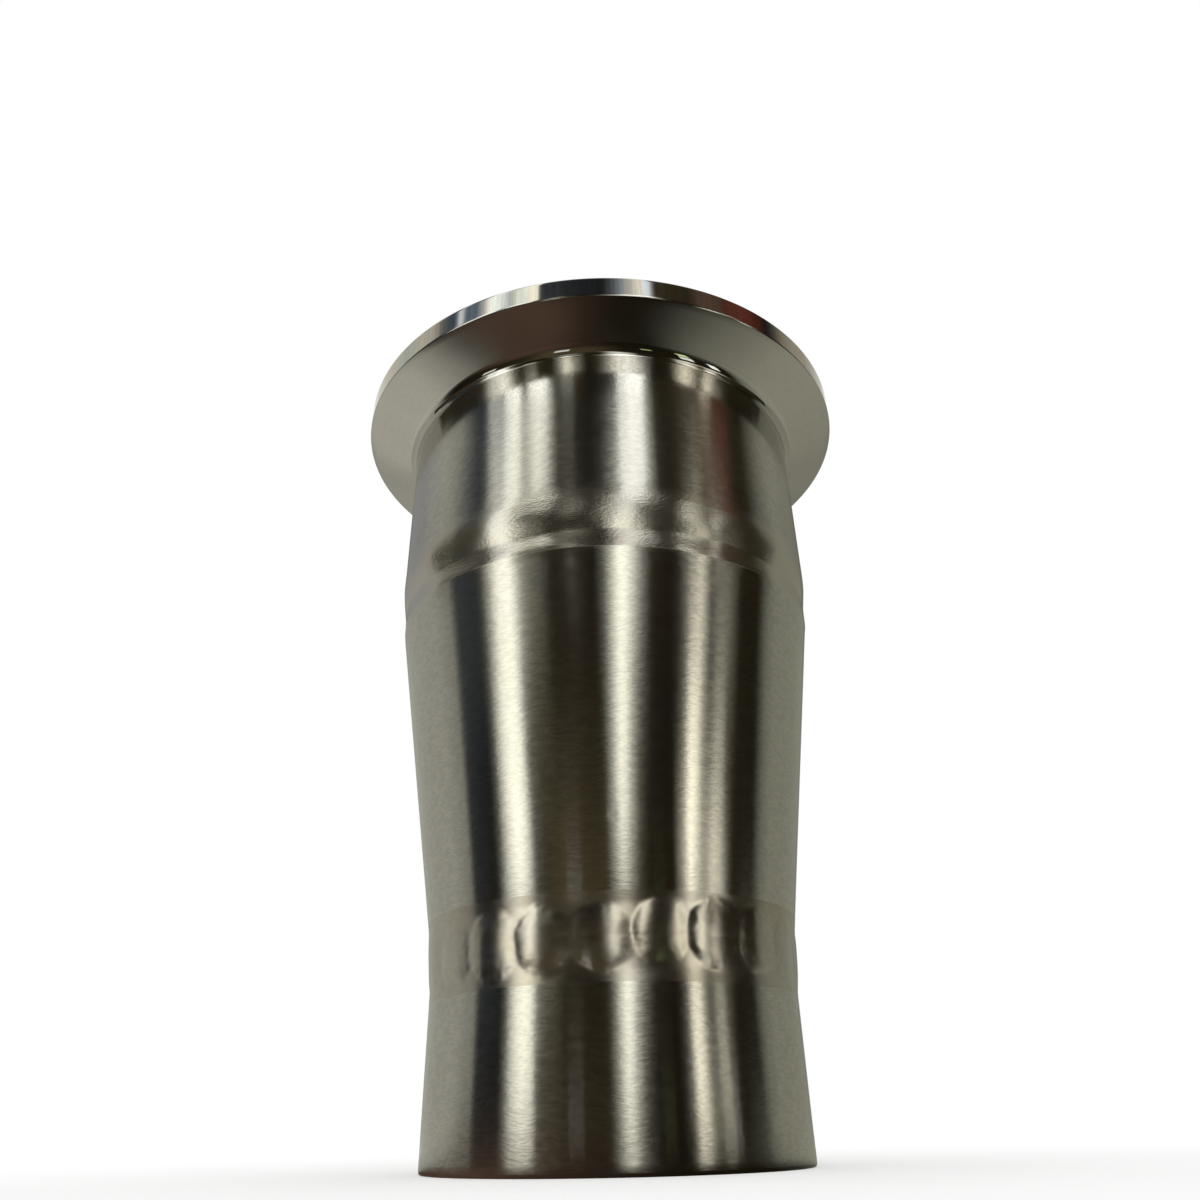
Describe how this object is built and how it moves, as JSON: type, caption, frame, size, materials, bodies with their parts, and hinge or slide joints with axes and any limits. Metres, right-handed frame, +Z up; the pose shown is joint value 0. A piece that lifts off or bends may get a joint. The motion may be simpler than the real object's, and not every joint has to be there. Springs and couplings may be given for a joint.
{
  "type": "sanitary clamp adapter",
  "caption": "Stainless clamp ferrule welded to a conical reducer and a plain tube end, for joining hygienic tubing of two sizes.",
  "frame": {"origin": "centre of the tube end's square-cut bottom face", "axes": "+Z up the bore axis towards the clamp face; the fitting stands on its tube end, and -Y faces the viewer of the picture"},
  "size_m": [0.064, 0.0638, 0.0873],
  "materials": {
    "satin_steel": "fine turned satin, polished rim and neck",
    "brushed_steel": "belt brushed round the tube, a few light dings",
    "ground_weld": "hand ground and polished, fine crossed scratches",
    "laid_weld": "lightly wiped weld puddles, faint straw to brown heat tint"
  },
  "bodies": {
    "root": {"clamp_ferrule": "satin_steel", "upper_weld": "ground_weld", "reducer_cone": "brushed_steel", "lower_weld": "laid_weld", "tube_end": "brushed_steel"}
  },
  "joints": []
}
